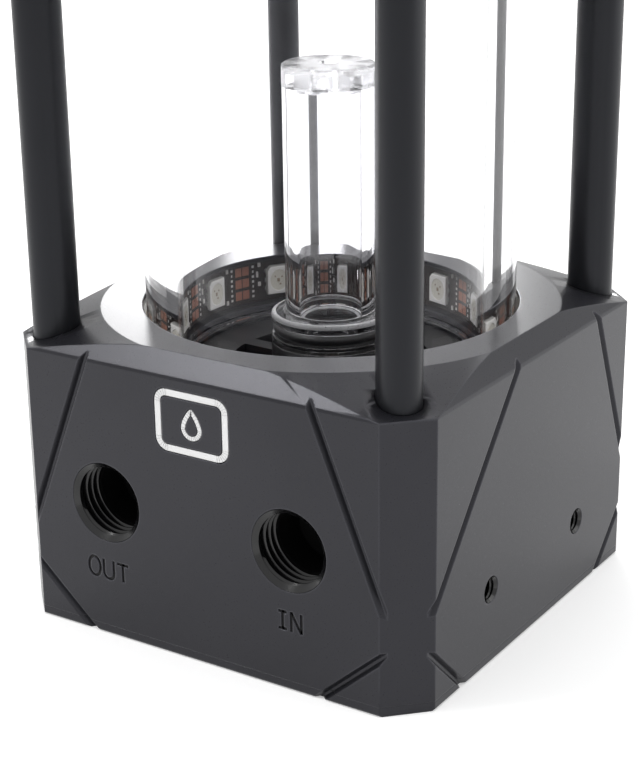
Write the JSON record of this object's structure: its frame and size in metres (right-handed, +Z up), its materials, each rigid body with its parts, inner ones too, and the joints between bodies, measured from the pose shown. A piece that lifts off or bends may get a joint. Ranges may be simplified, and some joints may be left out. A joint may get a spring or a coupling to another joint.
{
  "type": "coolant pump reservoir",
  "caption": "Square black coolant reservoir: a clear tube clamped by rods between a machined pump base with two ports and a cap, with a lit ring and a clear riser inside.",
  "frame": {"origin": "middle of the face that it stands on, at the outside of the bottom plate", "axes": "+Z up along the clear tube, -Y out of the two coolant ports, +X out of the side with the two M4 holes"},
  "size_m": [0.0764, 0.0764, 0.2116],
  "materials": {
    "black_block": "machined black acetal, satin, with soft-edged bevels",
    "bottom_plate": "black anodised, satin",
    "black_screw": "black oxide",
    "steel_screw": "plain stainless",
    "pump_plastic": "glass-filled moulding, dull",
    "seal_rubber": "soft, slightly shiny",
    "ceramic": "polished ceramic",
    "carbon": "pressed carbon, dull",
    "magnet": "bonded ferrite, dull",
    "impeller_plastic": "moulded grey",
    "core_steel": "stacked laminations",
    "copper_wire": "enamelled winding",
    "circuit_board": "solder mask",
    "dial_red": "moulded",
    "clamp_metal": "dark anodised",
    "strip_film": "flexible board with copper pads",
    "lamp_white": "white housing with a clear lens",
    "clear_tube": "clear, polished ends",
    "clear_acrylic": "turned clear acrylic",
    "rod_metal": "black anodised, satin",
    "plug_metal": "black, satin"
  },
  "bodies": {
    "frame": {"base_block": "black_block", "bottom_plate": "bottom_plate", "bottom_plate_screws": "black_screw", "suction_plate": "pump_plastic", "pump_can": "pump_plastic", "pump_can_seal": "seal_rubber", "pump_shaft": "ceramic", "stator_core": "core_steel", "stator_coils": "copper_wire", "control_board": "circuit_board", "pump_housing": "pump_plastic", "pump_back_cover": "pump_plastic", "pump_clamp_ring": "clamp_metal", "pump_clamp_screws": "steel_screw", "led_strip": "strip_film", "leds": "lamp_white", "lower_tube_seal": "seal_rubber", "glass_tube": "clear_tube", "upper_tube_seal": "seal_rubber", "riser_tube": "clear_acrylic", "riser_seal": "seal_rubber", "riser_cap": "clear_acrylic", "rod_front_left": "rod_metal", "rod_front_right": "rod_metal", "rod_back_left": "rod_metal", "rod_back_right": "rod_metal", "base_rod_screws": "black_screw", "cap_rod_screws": "black_screw", "top_cap": "black_block", "port_plugs": "plug_metal", "port_plug_seals": "seal_rubber"},
    "rotor": {"bearing_sleeve": "carbon", "rotor_magnet": "magnet", "impeller": "impeller_plastic"},
    "dial": {"speed_dial": "dial_red"},
    "plug_ring": {"fill_plug_seal": "seal_rubber"},
    "fill_plug": {"fill_plug": "plug_metal"}
  },
  "joints": [
    {"name": "rotor_spin", "type": "hinge", "parent": "frame", "child": "rotor", "pos_m": [0, 0, 0.016], "axis": [0, 0, 1], "continuous": true},
    {"name": "speed_dial_turn", "type": "hinge", "parent": "frame", "child": "dial", "pos_m": [0.013, 0, 0.005], "axis": [0, 0, 1], "range_deg": [-120, 120]},
    {"name": "fill_plug_rise", "type": "slide", "parent": "frame", "child": "plug_ring", "axis": [0, 0, 1], "range_m": [0, 0.0107]},
    {"name": "fill_plug_turn", "type": "hinge", "parent": "plug_ring", "child": "fill_plug", "pos_m": [0, 0, 0.2065], "axis": [0, 0, 1], "range_deg": [0, 2880]}
  ],
  "couplings": [
    {"joint": "fill_plug_rise", "follows": "fill_plug_turn", "m_per_rad": 0.00021279}
  ]
}
